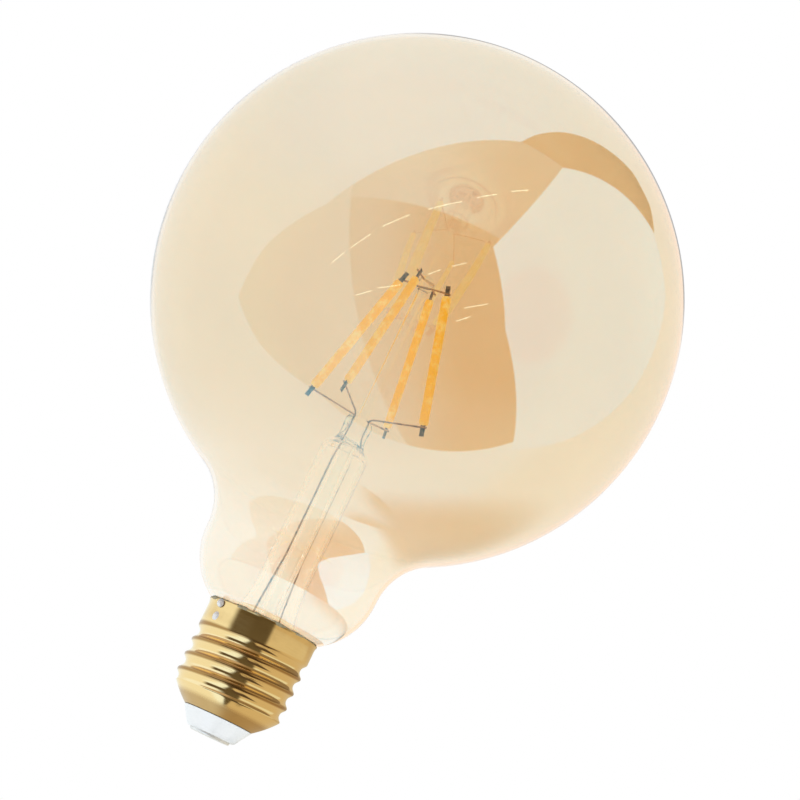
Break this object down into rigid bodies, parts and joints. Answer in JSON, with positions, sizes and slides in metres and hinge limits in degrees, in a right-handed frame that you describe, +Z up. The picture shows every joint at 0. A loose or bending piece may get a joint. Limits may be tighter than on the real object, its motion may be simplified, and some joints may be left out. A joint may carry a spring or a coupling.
{
  "type": "globe light bulb",
  "caption": "Globe-shaped lamp in gold-tinted clear glass on a threaded brass screw cap, with slanted yellow light strips on a glass stem inside.",
  "frame": {"origin": "centre of the contact stud's flat face, the lowest point of the cap", "axes": "+Z up the lamp's axis from the cap to the crown of the globe; +X to the right with the solder spots at the front left"},
  "size_m": [0.125, 0.125, 0.174],
  "materials": {
    "gold_glass": "clear blown glass with a thin gold coating",
    "clear_glass": "clear drawn and pressed glass",
    "brass": "bright rolled brass",
    "insulator": "white moulded insulator, smooth",
    "contact_metal": "nickel-plated stud, bright",
    "cement": "brown capping cement, matt",
    "solder": "dull solder",
    "tab_metal": "thin plated strip",
    "lead_metal": "drawn nickel wire",
    "phosphor": "silicone with yellow phosphor, satin",
    "board": "white solder mask on glass-fibre board",
    "chip_body": "black moulding compound",
    "can_metal": "drawn can",
    "resistor_body": "lacquered ceramic rod",
    "tinned_wire": "tinned copper wire"
  },
  "bodies": {
    "root": {"base_insulator": "insulator", "branch_wire_a": "lead_metal", "branch_wire_b": "lead_metal", "bridge_rectifier": "chip_body", "capping_cement": "cement", "centre_contact": "contact_metal", "driver_board": "board", "driver_chip": "chip_body", "filament_tabs": "tab_metal", "fuse_resistor": "resistor_body", "glass_globe": "gold_glass", "glass_stem": "clear_glass", "lead_wire_a": "lead_metal", "lead_wire_b": "lead_metal", "led_filament_1": "phosphor", "led_filament_2": "phosphor", "led_filament_3": "phosphor", "led_filament_4": "phosphor", "live_wire": "tinned_wire", "neutral_wire": "tinned_wire", "screw_shell": "brass", "side_solder": "solder", "smoothing_capacitor": "can_metal", "top_wire_a": "lead_metal", "top_wire_b": "lead_metal"}
  },
  "joints": []
}
